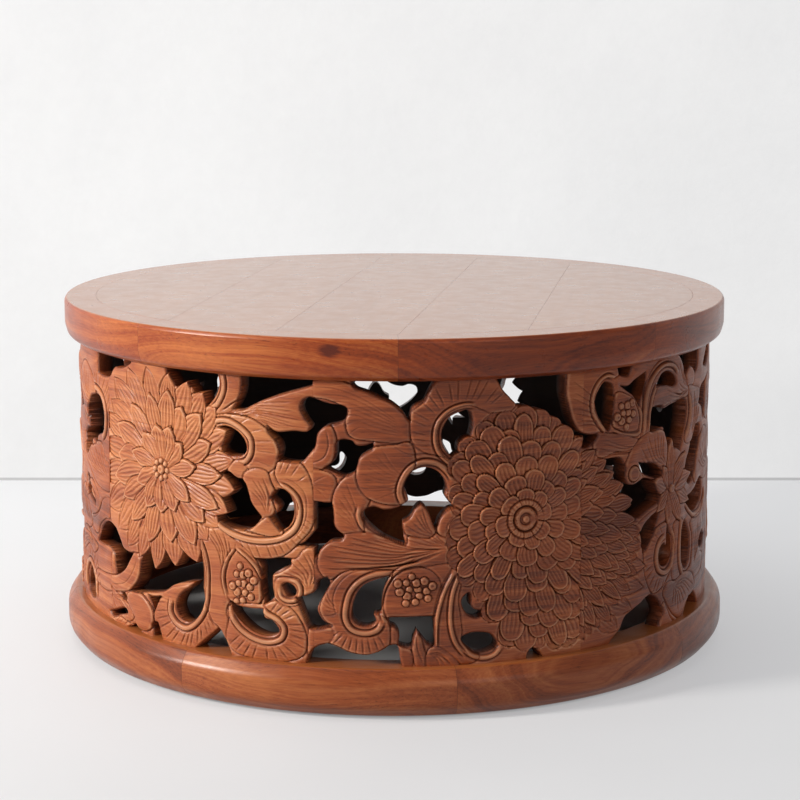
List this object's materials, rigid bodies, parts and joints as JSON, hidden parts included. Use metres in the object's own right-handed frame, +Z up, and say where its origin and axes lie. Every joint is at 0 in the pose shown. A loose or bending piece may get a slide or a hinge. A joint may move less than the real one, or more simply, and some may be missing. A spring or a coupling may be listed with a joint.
{
  "type": "carved drum coffee table",
  "caption": "Round drum coffee table in solid wood: carved and pierced floral wall of curved panels between a segmented base ring and a thick board top with a rounded rim.",
  "frame": {"origin": "on the floor under the centre of the table", "axes": "+Z up along the drum's axis, -Y towards the front panel"},
  "size_m": [0.818, 0.818, 0.419],
  "materials": {
    "carved_wood": "satin",
    "rim_wood": "satin",
    "base_wood": "satin",
    "top_wood": "satin",
    "hidden_wood": "matte",
    "felt": "matte"
  },
  "bodies": {
    "root": {"base_segments": "base_wood", "base_tenons": "hidden_wood", "batten_1": "hidden_wood", "batten_2": "hidden_wood", "felt_pads": "felt", "foot_tenons": "hidden_wood", "head_tenons": "hidden_wood", "panel_1_lower": "carved_wood", "panel_1_middle": "carved_wood", "panel_1_upper": "carved_wood", "panel_2_lower": "carved_wood", "panel_2_middle": "carved_wood", "panel_2_upper": "carved_wood", "panel_3_lower": "carved_wood", "panel_3_middle": "carved_wood", "panel_3_upper": "carved_wood", "panel_4_lower": "carved_wood", "panel_4_middle": "carved_wood", "panel_4_upper": "carved_wood", "panel_5_lower": "carved_wood", "panel_5_middle": "carved_wood", "panel_5_upper": "carved_wood", "panel_6_lower": "carved_wood", "panel_6_middle": "carved_wood", "panel_6_upper": "carved_wood", "panel_7_lower": "carved_wood", "panel_7_middle": "carved_wood", "panel_7_upper": "carved_wood", "panel_8_lower": "carved_wood", "panel_8_middle": "carved_wood", "panel_8_upper": "carved_wood", "panel_tenons": "hidden_wood", "rim_segments": "rim_wood", "rim_tenons": "hidden_wood", "top_board_1": "top_wood", "top_board_2": "top_wood", "top_board_3": "top_wood", "top_board_4": "top_wood", "top_board_5": "top_wood"}
  },
  "joints": []
}
